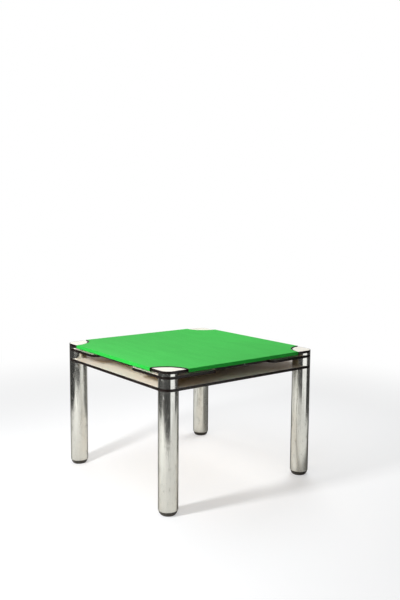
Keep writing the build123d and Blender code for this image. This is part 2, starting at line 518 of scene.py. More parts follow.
@dataclass(frozen=True)
class Baize(Finish):
    """Felted wool cloth, matted and faintly brushed one way."""

    deep: Color
    pale: Color
    lint: Color
    bloom: Color = (1.0, 1.0, 0.95)
    sheen: float = 0.115
    sheen_roughness: float = 0.55
    nap_share: float = 0.2
    fibre_share: float = 0.4
    rubbed_share: float = 0.1
    lint_share: float = 0.35
    pile_depth: float = 0.25 * MM

    def wire(self, graph: Graph, shader: Node) -> None:
        """Mixes two greens by nap and fibre, with lint and a soft sheen.

        Args:
            graph: The material's tree.
            shader: Its Principled shader.
        """
        felt = graph.group(FELT, Fibre=1500.0, Nap=26.0).outputs
        rubbed = graph.group(PATCHES, X=4.0, Y=4.0, Z=4.0, Low=0.35, High=0.75)
        lint = graph.group(SPECKS, Scale=260.0, Size=0.16, Share=0.05)
        nap = graph.ramp(felt["Nap"], 0.3, 0.7, 0.0, self.nap_share)
        fibre = graph.ramp(felt["Height"], 0.3, 1.0, 0.0, self.fibre_share)
        worn = graph.math("MULTIPLY", rubbed, self.rubbed_share)
        cloth = graph.blend(graph.math("ADD", graph.math("ADD", nap, fibre), worn), self.deep, self.pale)
        graph.wire(
            shader, Base_Color=graph.blend(graph.math("MULTIPLY", lint, self.lint_share), cloth, self.lint),
            Roughness=graph.ramp(felt["Height"], low=0.2, high=1.2, start=0.98, end=0.86),
            Specular_IOR_Level=0.0, Sheen_Weight=self.sheen, Sheen_Roughness=self.sheen_roughness,
            Sheen_Tint=self.bloom,
            Normal=graph.add("Bump", Height=felt["Height"], Distance=self.pile_depth, Strength=0.7),
        )


@dataclass(frozen=True)
class Timber(Finish):
    """Plain wood with straight grain along one axis."""

    light: Color
    dark: Color
    grain: Axis = Axis.X
    roughness: float = 0.55
    late_roughness: float = 0.15
    fleck_share: float = 0.3
    across: float = 330.0
    along: float = 11.0
    pore_depth: float = 0.06 * MM

    def wire(self, graph: Graph, shader: Node) -> None:
        """Mixes early and late wood along the grain, with flecks.

        Args:
            graph: The material's tree.
            shader: Its Principled shader.
        """
        scales = {axis.value: self.along if axis is self.grain else self.across for axis in Axis}
        lines = graph.group(LINES, **scales).outputs
        flecks = graph.group(SPECKS, Scale=300.0, Size=0.35, Share=0.2)
        tone = graph.ramp(lines["Tone"], low=0.12, high=0.4)
        wood = graph.blend(tone, self.light, self.dark)
        graph.wire(
            shader, Base_Color=graph.blend(graph.math("MULTIPLY", flecks, self.fleck_share), wood, self.dark),
            Roughness=graph.ramp(tone, 0.0, 1.0, self.roughness, self.roughness + self.late_roughness),
            Normal=graph.add("Bump", Height=lines["Height"], Distance=self.pore_depth, Strength=0.6),
        )


@dataclass(frozen=True)
class Chipboard(Finish):
    """Raw pressed board, with flakes of several tones."""

    pale: Color = (0.58, 0.44, 0.28)
    brown: Color = (0.33, 0.22, 0.12)
    flake_share: float = 0.6
    flake_depth: float = 0.15 * MM

    def wire(self, graph: Graph, shader: Node) -> None:
        """Scatters flakes over a mottled ground.

        Args:
            graph: The material's tree.
            shader: Its Principled shader.
        """
        flakes = graph.group(SPECKS, Scale=420.0, Size=0.7, Share=0.5)
        mottle = graph.group(PATCHES, X=160.0, Y=160.0, Z=260.0, Low=0.35, High=0.65)
        tone = graph.math("MAXIMUM", graph.math("MULTIPLY", flakes, self.flake_share), mottle)
        graph.wire(
            shader, Base_Color=graph.blend(tone, self.pale, self.brown),
            Roughness=graph.ramp(tone, 0.0, 1.0, start=0.8, end=0.95),
            Normal=graph.add("Bump", Height=tone, Distance=self.flake_depth, Strength=0.8),
        )


STEEL = Metal(
    "drawn_tube_steel", (0.80, 0.805, 0.755), (0.60, 0.60, 0.55), 0.07, 0.26,
    line_blur=0.15, upright_blur=0.7, edge_tint=0.12, duller_below=0.05,
)
ZINC = Metal("zinc_plate", (0.60, 0.61, 0.63), (0.42, 0.40, 0.34), 0.3, 0.5)
WELD = Metal("weld_steel", (0.34, 0.32, 0.30), (0.16, 0.12, 0.10), 0.38, 0.6)
LAMINATE = Laminate("cream_laminate", (0.885, 0.855, 0.765), (0.845, 0.805, 0.70))
BACKING = Laminate(
    "brown_board_backing", (0.55, 0.38, 0.17), (0.47, 0.30, 0.12), (0.2, 0.12, 0.06), 0.5, 0.62
)
EDGING = Plastic("black_edge_band", (0.010, 0.006, 0.005), (0.05, 0.035, 0.03), 0.3)
FOOT = Plastic("dark_foot_plastic", (0.055, 0.05, 0.042), (0.16, 0.15, 0.13), 0.34)
BAIZE = Baize("felted_baize", (0.012, 0.445, 0.040), (0.032, 0.60, 0.067), (0.16, 0.52, 0.18))
# The tuft's wool is far paler than the baize it frays from. This is painted light on a tuft that hangs in the
# panel's shade.
LIGHTENED_WOOL = Baize("frayed_wool_painted_light", (0.5, 0.75, 0.5), (0.7, 0.85, 0.65), (0.8, 0.9, 0.75))
# The bearers' beech is far darker than the turned beech. This is painted shade for the dark gap under the
# panel's front edge, where the bearers are seen.
SHADE_DARKENED_BEECH_X = Timber("shade_darkened_beech_along_x", (0.30, 0.19, 0.10), (0.20, 0.12, 0.06), Axis.X)
SHADE_DARKENED_BEECH_Y = Timber("shade_darkened_beech_along_y", (0.30, 0.19, 0.10), (0.20, 0.12, 0.06), Axis.Y)
BEECH_Z = Timber("beech_turned", (0.62, 0.42, 0.25), (0.44, 0.26, 0.14), Axis.Z)
CHIPBOARD = Chipboard("pressed_board")


# Modelling helpers


def clear_selection() -> None:
    """Leaves nothing selected, in object mode."""
    if bpy.context.object is not None and bpy.context.object.mode != "OBJECT":
        bpy.ops.object.mode_set(mode="OBJECT")
    bpy.ops.object.select_all(action="DESELECT")


def select(*pieces: Object) -> None:
    """Makes these pieces the only selected ones, the first of them active, in object mode.

    Args:
        *pieces: The pieces.
    """
    clear_selection()
    for piece in pieces:
        piece.select_set(True)
    bpy.context.view_layer.objects.active = pieces[0]


def open_mesh(obj: Object) -> None:
    """Opens a piece in edit mode, with all of its mesh selected.

    Args:
        obj: The piece.
    """
    select(obj)
    bpy.ops.object.mode_set(mode="EDIT")
    bpy.ops.mesh.select_all(action="SELECT")


def linked(name: str, data: ID) -> Object:
    """Puts data into the scene as a new object.

    Args:
        name: Name of the object.
        data: Its mesh, curve, lamp or camera.

    Returns:
        The object.
    """
    obj = bpy.data.objects.new(name, data)
    bpy.context.scene.collection.objects.link(obj)
    return obj


def settled(obj: Object, name: str, smooth_angle: float = 35.0) -> Object:
    """Puts the place into the mesh, turns normals outwards and shades the piece.

    Args:
        obj: The new piece.
        name: Its name.
        smooth_angle: Edges flatter than this are shaded smooth, in degrees.

    Returns:
        The piece.
    """
    select(obj)
    bpy.ops.object.transform_apply(location=True, rotation=True, scale=True)
    open_mesh(obj)
    bpy.ops.mesh.remove_doubles(threshold=0.001 * MM)
    bpy.ops.mesh.normals_make_consistent(inside=False)
    bpy.ops.object.mode_set(mode="OBJECT")
    bpy.ops.object.shade_smooth_by_angle(angle=math.radians(smooth_angle))
    obj.name = name
    obj.data.name = name
    return obj


def apply_modifier(obj: Object, kind: str, **settings: object) -> None:
    """Adds a modifier to a piece and applies it.

    Args:
        obj: The piece.
        kind: Modifier type.
        **settings: Attributes of the modifier.
    """
    select(obj)
    modifier = obj.modifiers.new(kind.lower(), kind)
    for key, value in settings.items():
        setattr(modifier, key, value)
    bpy.ops.object.modifier_apply(modifier=modifier.name)


def carve(obj: Object, tool: Object, operation: str = "DIFFERENCE") -> None:
    """Shapes a piece with a tool, which is used up.

    Args:
        obj: The piece.
        tool: The tool.
        operation: The Boolean operation.
    """
    apply_modifier(obj, "BOOLEAN", operation=operation, object=tool, solver="EXACT")
    bpy.data.objects.remove(tool)


def dress(obj: Object, body: str, finish: Finish, slot: Slot, *nodes: str) -> None:
    """Gives a piece its finish, its body and the nodes that it stands for.

    Args:
        obj: The piece.
        body: The body that it rides on.
        finish: Its finish.
        slot: The record's slot; not used.
        *nodes: The nodes that it stands for.
    """
    obj.data.materials.clear()
    obj.data.materials.append(finish.material())
    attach(obj, body)
    if nodes:
        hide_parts(*nodes)
    log.info("%s rides on %s, %d faces", obj.name, body, len(obj.data.polygons))


def arc(centre: tuple[float, float], radius: float, start: float, end: float, steps: int) -> Profile:
    """Points along an arc of a profile.

    Args:
        centre: Its centre, as radius and height.
        radius: Its radius.
        start: Start angle in degrees.
        end: End angle in degrees.
        steps: Number of steps.

    Returns:
        The points, both ends included.
    """
    points = []
    for index in range(steps + 1):
        angle = math.radians(start + (end - start) * index / steps)
        points.append((centre[0] + radius * math.cos(angle), centre[1] + radius * math.sin(angle)))
    return points


@dataclass
class Lathe:
    """Turns profiles about a vertical axis, ring by ring."""

    segments: int = 144

    def turn(self, name: str, centre: Vector, profile: Profile, closed: bool) -> Object:
        """Turns a profile.

        Args:
            name: Name of the piece.
            centre: A point of the axis.
            profile: Radii and heights, in metres, none with a radius of zero.
            closed: True joins the last ring to the first, False fills both ends.

        Returns:
            The turned piece.
        """
        clear_selection()
        rings = profile + profile[:1] if closed else profile
        radius, height = rings[0]
        fill = "NOTHING" if closed else "NGON"
        place = (centre.x, centre.y, height)
        bpy.ops.mesh.primitive_circle_add(
            vertices=self.segments, radius=radius, location=place, fill_type=fill
        )
        obj = bpy.context.object
        open_mesh(obj)
        for (last_radius, last_height), (radius, height) in zip(rings, rings[1:]):
            step = {"value": (0.0, 0.0, height - last_height)}
            bpy.ops.mesh.extrude_region_move(TRANSFORM_OT_translate=step)
            share = radius / last_radius
            middle = (centre.x, centre.y, height)
            bpy.ops.transform.resize(value=(share, share, 1.0), center_override=middle)
        bpy.ops.object.mode_set(mode="OBJECT")
        return settled(obj, name)


def leg_axis(corner: str) -> Vector:
    """Point on the floor under the axis of one leg.

    Args:
        corner: The leg's corner.

    Returns:
        The point.
    """
    low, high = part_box("leg_tube_" + corner)
    middle = (low + high) / 2
    return Vector((middle.x, middle.y, 0.0))


def round_size(node: str) -> tuple[float, float, float]:
    """Size of an upright round piece.

    Args:
        node: The piece's node.

    Returns:
        Its outer radius and the heights of its lower and upper end.
    """
    low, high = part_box(node)
    return max(high.x - low.x, high.y - low.y) / 2, low.z, high.z


def softened_copy(node: str, name: str, radius: float, angle: float = 40.0) -> Object:
    """Copies a hard-edged piece and rounds its edges a little.

    Args:
        node: The node to copy.
        name: Name of the copy.
        radius: Radius of the rounding, in metres.
        angle: Edges sharper than this are rounded, in degrees.

    Returns:
        The copy.
    """
    flat_angle = 0.5
    obj = linked(name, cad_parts[node].data.copy())
    open_mesh(obj)
    bpy.ops.mesh.customdata_custom_splitnormals_clear()
    bpy.ops.mesh.remove_doubles(threshold=0.002 * MM)
    bpy.ops.mesh.dissolve_limited(angle_limit=math.radians(flat_angle))
    bpy.ops.object.mode_set(mode="OBJECT")
    apply_modifier(
        obj, "BEVEL", width=radius, segments=2, limit_method="ANGLE", angle_limit=math.radians(angle),
        use_clamp_overlap=True,
    )
    return settled(obj, name)


# Sub-assemblies


@dataclass
class Legs:
    """Tube, foot and weld of each leg."""

    wall: float = 1.5 * MM
    bend: float = 2.5 * MM
    rim: float = 0.4 * MM
    foot_ledge: float = 1.2 * MM
    foot_bulge: float = 2.4 * MM
    foot_steps: int = 10
    sole_radius: float = 36.0 * MM
    sole_round: float = 1.6 * MM
    spigot_slack: float = 0.05 * MM
    bead: float = 1.6 * MM
    bead_depth: float = 0.3 * MM
    bead_segments: int = 180
    ripple: float = 0.18 * MM
    ripples: int = 45
    wander: float = 2.0
    wander_scale: float = 60.0
    lathe: Lathe = field(default_factory=Lathe)

    def make(self) -> None:
        """Builds and dresses the four legs."""
        for corner in CORNERS:
            axis = leg_axis(corner)
            body = "leg_" + corner
            radius, low, high = round_size("leg_tube_" + corner)
            section = self.tube_profile(radius, low, high)
            tube = self.lathe.turn("polished_tube_" + corner, axis, section, closed=True)
            dress(tube, body, STEEL, Slot.STEEL, "leg_tube_" + corner)
            _, sole, spigot = round_size("leg_foot_" + corner)
            section = self.foot_profile(radius - self.wall - self.bend, sole, low, spigot)
            foot = self.lathe.turn("moulded_foot_" + corner, axis, section, closed=False)
            dress(foot, body, FOOT, Slot.FOOT, "leg_foot_" + corner)
            self.weld(corner, axis, radius - self.wall)

    def tube_profile(self, radius: float, low: float, high: float) -> Profile:
        """Section of a leg tube with a curled lower end and a softened upper rim.

        Args:
            radius: Outer radius.
            low: Height of the lower end.
            high: Height of the upper end.

        Returns:
            The closed profile.
        """
        curl = self.wall + self.bend
        centre = (radius - curl, low + curl)
        bore = radius - self.wall
        rim = self.rim
        profile = [(bore + rim, high), (radius - rim, high), (radius, high - rim)]
        profile += arc(centre, curl, start=0, end=-90, steps=8)
        profile += arc(centre, self.bend, start=-90, end=0, steps=6)
        profile += [(bore, high - rim)]
        return profile

    def foot_profile(self, lip: float, low: float, top: float, high: float) -> Profile:
        """Section of a foot, from the middle of its sole round to its spigot.

        Args:
            lip: Inner radius of the curled end.
            low: Height of the sole.
            top: Height of the ledge under the tube.
            high: Height of the spigot's end.

        Returns:
            The open profile.
        """
        rim = lip + self.foot_ledge
        side = []
        for index in range(self.foot_steps + 1):
            share = index / self.foot_steps
            bulge = 4 * self.foot_bulge * share * (1 - share)
            radius = self.sole_radius + (rim - self.sole_radius) * share + bulge
            side.append((radius, low + (top - low) * share))
        start, edge = side[0][0], self.sole_round
        sole = [(start - 2 * edge, low), (start - 0.6 * edge, low)]
        side[0] = (start + 0.3 * edge, low + 0.5 * edge)
        side[-1] = (rim + 0.1 * edge, top - 0.35 * edge)
        spigot = lip - self.spigot_slack
        ledge = [(rim - 0.25 * edge, top), (spigot, top), (spigot, high), (spigot * 0.5, high)]
        return sole + side + ledge

    def weld(self, corner: str, axis: Vector, bore: float) -> None:
        """Builds the weld bead between a plug and its tube.

        Args:
            corner: The leg's corner.
            axis: A point of the leg's axis.
            bore: Inner radius of the tube.
        """
        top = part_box("leg_plug_" + corner)[1].z
        size = self.bead
        middle = (bore - 0.2 * size, top + 0.2 * size)
        section = arc(middle, size, start=200, end=-20, steps=5)
        profile = [(min(radius, bore), height) for radius, height in section]
        profile += [(bore, top - self.bead_depth), (bore - size, top - self.bead_depth)]
        bead = Lathe(self.bead_segments).turn("weld_bead_" + corner, axis, profile, closed=True)
        for vertex in bead.data.vertices:
            across = Vector((vertex.co.x - axis.x, vertex.co.y - axis.y, 0.0))
            phase = self.ripples * math.atan2(across.y, across.x)
            phase += self.wander * noise.noise(across * self.wander_scale)
            if vertex.co.z > top:
                vertex.co.z += self.ripple * math.sin(phase)
        dress(bead, "leg_" + corner, WELD, Slot.ZINC)


@dataclass
class SpacerRings:
    """The tall and the short steel rings between the layers."""

    wall: float = 1.5 * MM
    rim: float = 0.35 * MM
    lathe: Lathe = field(default_factory=Lathe)

    def make(self) -> None:
        """Builds and dresses the eight rings."""
        for kind in ("tall", "short"):
            for corner in CORNERS:
                node = f"{kind}_spacer_ring_{corner}"
                section = self.profile(*round_size(node))
                name = f"polished_{kind}_ring_{corner}"
                ring = self.lathe.turn(name, leg_axis(corner), section, closed=True)
                dress(ring, "table_frame", STEEL, Slot.STEEL, node)

    def profile(self, radius: float, low: float, high: float) -> Profile:
        """Section of a ring with softened rims.

        Args:
            radius: Outer radius.
            low: Height of its lower rim.
            high: Height of its upper rim.

        Returns:
            The closed profile.
        """
        bore = radius - self.wall
        rim = self.rim
        return [
            (bore + rim, low), (radius - rim, low), (radius, low + rim), (radius, high - rim),
            (radius - rim, high), (bore + rim, high), (bore, high - rim), (bore, low + rim),
        ]


@dataclass
class BaizePanel:
    """The baize that covers the loose panel."""

    bay_radius: float = 127.5 * MM
    bay_segments: int = 256
    overhang: float = 3.0 * MM
    edge_round: float = 2.5 * MM
    turn_in: float = 18.0 * MM
    thickness: float = 1.2 * MM
    cut_area: float = 1.016
    flat_ring: float = 3.4 * MM
    grid: float = 35.0 * MM
    ripple: float = 0.25 * MM
    taut_rim: float = 8.0 * MM
    slack_fade: float = 60.0 * MM
    waves: Point = (6.0, 2.5, 0.7)
    smooth_angle: float = 60.0
    side_steps: int = 28

    def make(self) -> None:
        """Builds, stretches, notches and dresses the cover."""
        low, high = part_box("panel_cloth")
        section = self.rings(low.z, high.z)
        points, faces = [], []
        for inset, height in section:
            points += [(x, y, height) for x, y in self.outline(inset)]
        count = len(points) // len(section)
        for ring in range(len(section) - 1):
            for index in range(count):
                after = (index + 1) % count
                first = ring * count
                faces.append((first + index, first + count + index, first + count + after, first + after))
        faces.append(tuple(range(count)))
        mesh = bpy.data.meshes.new("baize_cover")
        mesh.from_pydata(points, [], faces)
        cover = linked("baize_cover", mesh)
        self.cut_grid(cover)
        self.slacken(cover, high.z)
        settled(cover, "baize_cover", self.smooth_angle)
        apply_modifier(cover, "SOLIDIFY", thickness=self.thickness, offset=-1.0, use_even_offset=True)
        self.cut_bays(cover, low.z, high.z)
        dress(cover, "loose_panel", BAIZE, Slot.BAIZE, "panel_cloth")

    def outline(self, inset: float) -> Profile:
        """Points round a square, counter-clockwise from above.

        Args:
            inset: Distance in from the panel's edge.

        Returns:
            The points, the same number for every inset.
        """
        half = CAD_HIGH.x - inset
        turns = ((-1, -1), (1, -1), (1, 1), (-1, 1), (-1, -1))
        points = []
        for first, last in zip(turns, turns[1:]):
            for index in range(self.side_steps):
                share = index / self.side_steps
                points.append(tuple(half * (a + (b - a) * share) for a, b in zip(first, last)))
        return points

    def rings(self, low: float, high: float) -> Profile:
        """Inset and height of each ring, from the top down and under.

        Args:
            low: Height of the panel's underside.
            high: Height of the panel's top.

        Returns:
            The rings.
        """
        r = self.edge_round
        section = [(self.flat_ring, high)]
        section += [(r - a, h) for a, h in arc((0.0, high - r), r, start=90, end=0, steps=6)]
        section += [(r - a, h) for a, h in arc((0.0, low + r), r, start=0, end=-90, steps=6)]
        section += [(self.turn_in * 0.5, low), (self.turn_in, low)]
        return section

    def cut_grid(self, cover: Object) -> None:
        """Cuts the flat top of the cover into a grid.

        Args:
            cover: The cover.
        """
        open_mesh(cover)
        cuts = int((CAD_HIGH.x - self.flat_ring) / self.grid)
        for axis in (Vector((1, 0, 0)), Vector((0, 1, 0))):
            for index in range(-cuts, cuts + 1):
                bpy.ops.mesh.select_all(action="SELECT")
                bpy.ops.mesh.bisect(plane_co=axis * index * self.grid, plane_no=axis)
        bpy.ops.object.mode_set(mode="OBJECT")

    def slacken(self, cover: Object, top: float) -> None:
        """Lets the stretched top ripple very slightly.

        Args:
            cover: The cover.
            top: Height of the panel's top.
        """
        corner = CAD_HIGH.x - self.overhang
        flat = top - 0.01 * MM
        along, across, layer = self.waves
        for vertex in cover.data.vertices:
            x, y, z = vertex.co
            if z > flat:
                bay = math.hypot(corner - abs(x), corner - abs(y)) - self.bay_radius
                inner = min(CAD_HIGH.x - abs(x), CAD_HIGH.x - abs(y), bay)
                share = min(max((inner - self.taut_rim) / self.slack_fade, 0.0), 1.0)
                wave = noise.noise(Vector((x * along, y * across, layer)))
                vertex.co.z -= self.ripple * share * (0.5 + 0.5 * wave)

    def cut_bays(self, cover: Object, low: float, high: float) -> None:
        """Cuts a round bay for each corner plate, flush with the bands that face it.

        Args:
            cover: The cover.
            low: Height of the panel's underside.
            high: Height of the panel's top.
        """
        reach = CAD_HIGH.x - self.overhang
        margin = 5 * MM
        profile = [(self.bay_radius, low - margin), (self.bay_radius, high + margin)]
        lathe = Lathe(self.bay_segments)
        for x in (-reach, reach):
            for y in (-reach, reach):
                carve(cover, lathe.turn("bay_cutter", Vector((x, y, 0.0)), profile, closed=False))
        settled(cover, "baize_cover", self.smooth_angle)


@dataclass
class WoolTuft:
    """A tuft of loose wool under the front edge of the panel."""

    strands: int = 3
    spread: float = 0.9 * MM
    strand_radius: float = 0.7 * MM
    left: float = 13.0 * MM
    inset: float = 3.2 * MM
    root: float = 0.4 * MM
    sway: float = 0.5 * MM
    lean: float = 0.3
    drops: tuple[float, ...] = (0.0, 1.6, 3.2, 4.8, 6.0)

    def make(self) -> None:
        """Builds, joins and dresses the strands."""
        strands = [self.strand(index) for index in range(self.strands)]
        select(*strands)
        bpy.ops.object.convert(target="MESH")
        bpy.ops.object.join()
        tuft = settled(bpy.context.object, "frayed_tuft", smooth_angle=60.0)
        # Its wool is painted pale, standing in for light on a tuft that hangs in shade.
        dress(tuft, "loose_panel", LIGHTENED_WOOL, Slot.BAIZE)

    def strand(self, index: int) -> Object:
        """Builds one strand.

        Args:
            index: Its place among the strands.

        Returns:
            The strand.
        """
        curve = bpy.data.curves.new("wool_strand", "CURVE")
        curve.dimensions = "3D"
        curve.bevel_depth = self.strand_radius
        curve.bevel_resolution = 2
        spline = curve.splines.new("POLY")
        spline.points.add(len(self.drops) - 1)
        x = (index - 1) * self.spread - self.left
        y = self.inset - CAD_HIGH.x
        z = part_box("panel_cloth")[0].z + self.root
        for point, drop in zip(spline.points, self.drops):
            sway = self.sway * math.sin(drop + 2 * index)
            point.co = (x + sway, y - self.lean * drop * MM, z - drop * MM, 1)
        return linked("wool_strand", curve)


@dataclass
class CornerFixings:
    """Threaded studs and hexagon nuts, which show when a leg is taken off."""

    pitch: float = 1.75 * MM
    thread_depth: float = 1.0 * MM
    thread_root: float = 0.15 * MM
    thread_steps: int = 28
    tooth: tuple[tuple[float, float], ...] = ((0.0, 0.02), (0.42, 1.0), (0.56, 1.0), (0.98, 0.02))
    threaded: float = 34.0 * MM
    run_out: float = 1.2 * MM
    chamfer: float = 1.0 * MM
    nut_trim: float = 0.5 * MM
    nut_chamfer: float = 1.6 * MM
    nut_segments: int = 72
    lathe: Lathe = field(default_factory=lambda: Lathe(segments=48))

    def make(self) -> None:
        """Builds and dresses the studs and the nuts."""
        low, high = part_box("corner_studs")
        radius = high.x - leg_axis("front_right").x
        for corner in CORNERS:
            axis = leg_axis(corner)
            stud = self.stud("threaded_stud_" + corner, axis, radius, low.z, high.z)
            dress(stud, "table_frame", ZINC, Slot.ZINC, "corner_studs")
            nut = self.nut("chamfered_nut_" + corner, axis, radius)
            dress(nut, "table_frame", ZINC, Slot.ZINC, "stud_nuts")

    def stud(self, name: str, axis: Vector, radius: float, low: float, high: float) -> Object:
        """Builds a stud whose lower end is threaded.

        Args:
            name: Name of the piece.
            axis: A point of its axis.
            radius: Radius over the crests.
            low: Height of its lower end.
            high: Height of its upper end.

        Returns:
            The stud.
        """
        root = radius - self.thread_depth
        end = low + self.threaded
        point = 0.6 * self.chamfer
        profile = [
            (root - point, low), (root, low + point), (root, end), (radius, end + self.run_out),
            (radius, high - self.chamfer), (radius - self.chamfer, high),
        ]
        rod = self.lathe.turn(name + "_rod", axis, profile, closed=False)
        thread = self.thread(root)
        thread.data.transform(Matrix.Translation(Vector((axis.x, axis.y, low + self.chamfer))))
        settled(thread, name + "_thread", smooth_angle=25.0)
        select(rod, thread)
        bpy.ops.object.join()
        rod.name = name
        rod.data.name = name
        return rod

    def thread(self, root: float) -> Object:
        """Winds a thread up from the floor about the Z axis.

        Args:
            root: Radius between the crests.

        Returns:
            The thread, open at both ends.
        """
        clear_selection()
        bpy.ops.mesh.primitive_circle_add(vertices=len(self.tooth), location=(0, 0, 0))
        thread = bpy.context.object
        sunk = self.thread_root
        for vertex, (height, depth) in zip(thread.data.vertices, self.tooth):
            crest = root - sunk + (self.thread_depth + sunk) * depth
            vertex.co = (crest, 0.0, height * self.pitch)
        turns = int((self.threaded - 2 * self.chamfer) / self.pitch)
        apply_modifier(
            thread, "SCREW", angle=FULL_TURN, screw_offset=self.pitch, iterations=turns,
            steps=self.thread_steps, render_steps=self.thread_steps, use_merge_vertices=True,
            merge_threshold=0.001 * MM,
        )
        return thread

    def nut(self, name: str, axis: Vector, bore: float) -> Object:
        """Builds a hexagon nut with chamfered corners.

        Args:
            name: Name of the piece.
            axis: A point of its axis.
            bore: Radius of its bore.

        Returns:
            The nut.
        """
        low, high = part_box("stud_nuts")
        flat = high.y - leg_axis("back_right").y
        half_side = FULL_TURN / 12
        corner = flat / math.cos(half_side)
        height = high.z - low.z
        clear_selection()
        place = (axis.x, axis.y, low.z + height / 2)
        bpy.ops.mesh.primitive_cylinder_add(vertices=6, radius=corner, depth=height, location=place)
        nut = bpy.context.object
        bpy.ops.object.transform_apply(location=True, rotation=True, scale=True)
        turned = Matrix.Rotation(half_side, 4, "Z")
        centre = Matrix.Translation(Vector((axis.x, axis.y, 0)))
        nut.data.transform(centre @ turned @ centre.inverted())
        trim, slope = self.nut_trim, self.nut_chamfer
        blank = [
            (flat - trim, low.z - trim), (corner + trim, low.z + slope),
            (corner + trim, high.z - slope), (flat - trim, high.z + trim),
        ]
        hole = [(bore, low.z - 2 * trim), (bore, high.z + 2 * trim)]
        lathe = Lathe(self.nut_segments)
        carve(nut, lathe.turn(name + "_blank", axis, blank, closed=False), "INTERSECT")
        carve(nut, lathe.turn(name + "_hole", axis, hole, closed=False))
        return settled(nut, name, smooth_angle=20.0)


@dataclass
class BearerScrews:
    """Countersunk screws with a cross recess, in the tops of the bearers."""

    head_radius: float = 4.0 * MM
    head_rim: float = 0.15 * MM
    head_height: float = 2.2 * MM
    shank_radius: float = 2.0 * MM
    point_length: float = 4.0 * MM
    point_share: float = 0.2
    slot_length: float = 4.6 * MM
    slot_width: float = 1.0 * MM
    slot_depth: float = 1.5 * MM
    slot_taper: float = 0.6
    end_margin: float = 60.0 * MM
    per_bearer: int = 4
    turn_step: float = 0.7
    lathe: Lathe = field(default_factory=lambda: Lathe(segments=32))

    def make(self) -> None:
        """Copies the screw to every place and dresses each copy."""
        pattern = self.pattern()
        for index, place in enumerate(self.places()):
            name = f"cross_screw_{SIDES[index // self.per_bearer]}_{index % self.per_bearer + 1}"
            screw = linked(name, pattern.data.copy())
            screw.data.name = name
            turn = Matrix.Rotation(self.turn_step * index, 4, "Z")
            screw.data.transform(Matrix.Translation(place) @ turn)
            dress(screw, "table_frame", ZINC, Slot.ZINC, "bearer_screws")
        bpy.data.objects.remove(pattern)

    def places(self) -> list[Vector]:
        """Places of the screws on the four bearers.

        Returns:
            Points on the floor under each screw.
        """
        found = []
        for side in SIDES:
            low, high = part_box("bearer_" + side)
            middle = (low + high) / 2
            along = Vector((1, 0, 0)) if high.x - low.x > high.y - low.y else Vector((0, 1, 0))
            length = max(high.x - low.x, high.y - low.y)
            first = self.end_margin - length / 2
            step = -2 * first / (self.per_bearer - 1)
            for index in range(self.per_bearer):
                found.append(Vector((middle.x, middle.y, 0)) + along * (first + step * index))
        return found

    def pattern(self) -> Object:
        """Builds one screw on the Z axis.

        Returns:
            The screw.
        """
        low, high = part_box("bearer_screws")
        shank, head, rim = self.shank_radius, self.head_radius, self.head_rim
        profile = [
            (self.point_share * shank, low.z), (shank, low.z + self.point_length),
            (shank, high.z - self.head_height), (head, high.z - rim), (head - rim, high.z),
        ]
        screw = self.lathe.turn("screw_pattern", Vector((0, 0, 0)), profile, closed=False)
        for length, width in ((self.slot_length, self.slot_width), (self.slot_width, self.slot_length)):
            clear_selection()
            bpy.ops.mesh.primitive_cube_add(size=1.0, location=(0, 0, high.z))
            cutter = bpy.context.object
            cutter.scale = (length, width, 2 * self.slot_depth)
            bpy.ops.object.transform_apply(location=True, rotation=True, scale=True)
            for vertex in cutter.data.vertices:
                if vertex.co.z < high.z:
                    vertex.co.x *= self.slot_taper
                    vertex.co.y *= self.slot_taper
            carve(screw, cutter)
        return settled(screw, "screw_pattern", smooth_angle=30.0)


@dataclass
class Boards:
    """Boards, plates, bearers and hidden pieces, some with softened edges."""

    band_round: float = 0.35 * MM
    wood_round: float = 0.9 * MM

    def make(self) -> None:
        """Dresses the carried-over nodes and builds the softened copies."""
        for node, copy_name, body in (
            ("lower_board_edging", "lower_edge_band", "table_frame"),
            ("middle_board_edging", "middle_edge_band", "table_frame"),
            ("corner_plate_edgings", "plate_edge_bands", "table_frame"),
            ("panel_bay_bands", "bay_bands", "loose_panel"),
        ):
            dress(softened_copy(node, copy_name, self.band_round), body, EDGING, Slot.EDGING, node)
        for side in SIDES:
            node = "bearer_" + side
            wood = softened_copy(node, "planed_" + node, self.wood_round, angle=60.0)
            # The bearers take the darkened beech, which is painted shade.
            grain = SHADE_DARKENED_BEECH_X if side in ("front", "back") else SHADE_DARKENED_BEECH_Y
            dress(wood, "table_frame", grain, Slot.BEARER, node)
        for name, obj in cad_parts.items():
            if not obj.hide_render:
                obj.data.materials.clear()
                obj.data.materials.append(self.finish_of(name).material())

    def finish_of(self, node: str) -> Finish:
        """Finish of a carried-over node.

        Args:
            node: The node's name.

        Returns:
            Its finish.
        """
        if "bottom_laminate" in node:
            return BACKING
        if "laminate" in node or "backing" in node:
            return LAMINATE
        if "spacer_cores" in node or "dowels" in node:
            return BEECH_Z
        if "core" in node:
            return CHIPBOARD
        return ZINC


# Studio


